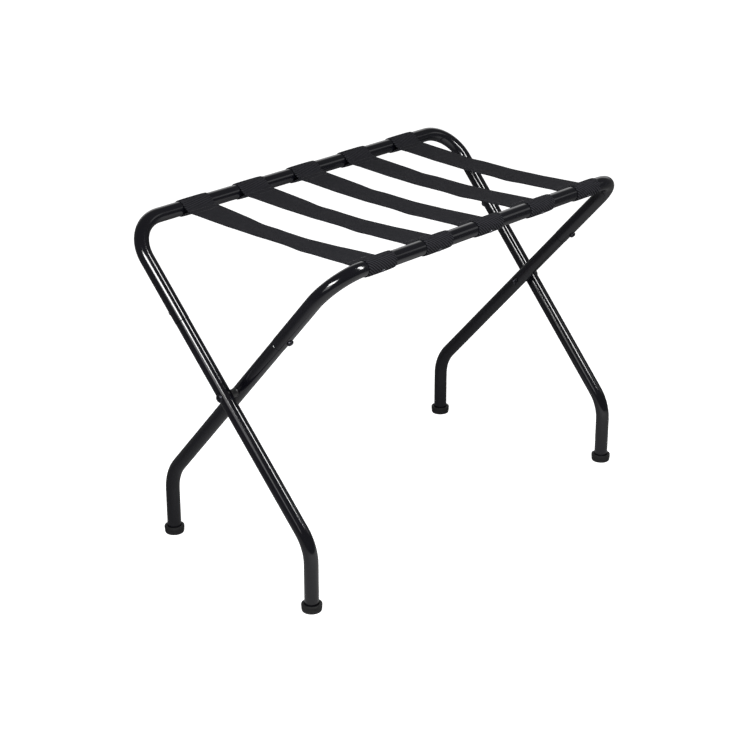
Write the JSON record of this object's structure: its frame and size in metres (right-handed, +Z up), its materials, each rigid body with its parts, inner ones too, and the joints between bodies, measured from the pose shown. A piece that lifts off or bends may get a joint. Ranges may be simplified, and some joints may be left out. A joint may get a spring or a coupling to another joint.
{
  "type": "folding luggage rack",
  "caption": "Folding luggage rack of crossed bent-tube frames on side pivots, with webbing straps between the top rails and ribbed rubber feet.",
  "frame": {"origin": "On the floor at the middle of the rack's footprint.", "axes": "+Z is up. X runs along the rails. +Y points from the front rail, which the inner frame carries, to the back rail, which the outer frame carries."},
  "size_m": [0.724, 0.4046, 0.5127],
  "materials": {
    "enamel": "glossy black enamel",
    "black_steel": "black zinc, semi-gloss",
    "plain_steel": "zinc plated",
    "foot_rubber": "dull, ribbed",
    "nylon": "moulded nylon",
    "webbing": "woven black webbing, matte"
  },
  "bodies": {
    "outer_frame": {"outer_rail_tube": "enamel", "outer_leg_left": "enamel", "outer_joint_screw_left": "black_steel", "outer_insert_nut_left": "plain_steel", "outer_foot_left": "foot_rubber", "outer_leg_right": "enamel", "outer_joint_screw_right": "black_steel", "outer_insert_nut_right": "plain_steel", "outer_foot_right": "foot_rubber", "pivot_bolt_left": "black_steel", "pivot_nut_left": "black_steel", "pivot_spacer_left": "nylon", "pivot_bolt_right": "black_steel", "pivot_nut_right": "black_steel", "pivot_spacer_right": "nylon"},
    "inner_frame": {"inner_rail_tube": "enamel", "inner_leg_left": "enamel", "inner_joint_screw_left": "black_steel", "inner_insert_nut_left": "plain_steel", "inner_foot_left": "foot_rubber", "inner_leg_right": "enamel", "inner_joint_screw_right": "black_steel", "inner_insert_nut_right": "plain_steel", "inner_foot_right": "foot_rubber"},
    "back_straps": {"strap_1_back": "webbing", "strap_2_back": "webbing", "strap_3_back": "webbing", "strap_4_back": "webbing", "strap_5_back": "webbing"},
    "front_straps": {"strap_1_front": "webbing", "strap_2_front": "webbing", "strap_3_front": "webbing", "strap_4_front": "webbing", "strap_5_front": "webbing"}
  },
  "joints": [
    {"name": "fold", "type": "hinge", "parent": "outer_frame", "child": "inner_frame", "pos_m": [0, 0, 0.285], "axis": [-1, 0, 0], "range_deg": [0, 76]},
    {"name": "back_strap_hang", "type": "hinge", "parent": "outer_frame", "child": "back_straps", "pos_m": [0, 0.18953, 0.49998], "axis": [1, 0, 0], "range_deg": [0, 47], "deforming": ["strap_1_back", "strap_2_back", "strap_3_back", "strap_4_back", "strap_5_back"]},
    {"name": "front_strap_hang", "type": "hinge", "parent": "inner_frame", "child": "front_straps", "pos_m": [0, -0.18953, 0.49998], "axis": [-1, 0, 0], "range_deg": [0, 47], "deforming": ["strap_1_front", "strap_2_front", "strap_3_front", "strap_4_front", "strap_5_front"]}
  ],
  "couplings": [
    {"joint": "back_strap_hang", "follows": "fold", "ratio": 0.616},
    {"joint": "front_strap_hang", "follows": "fold", "ratio": 0.616}
  ]
}
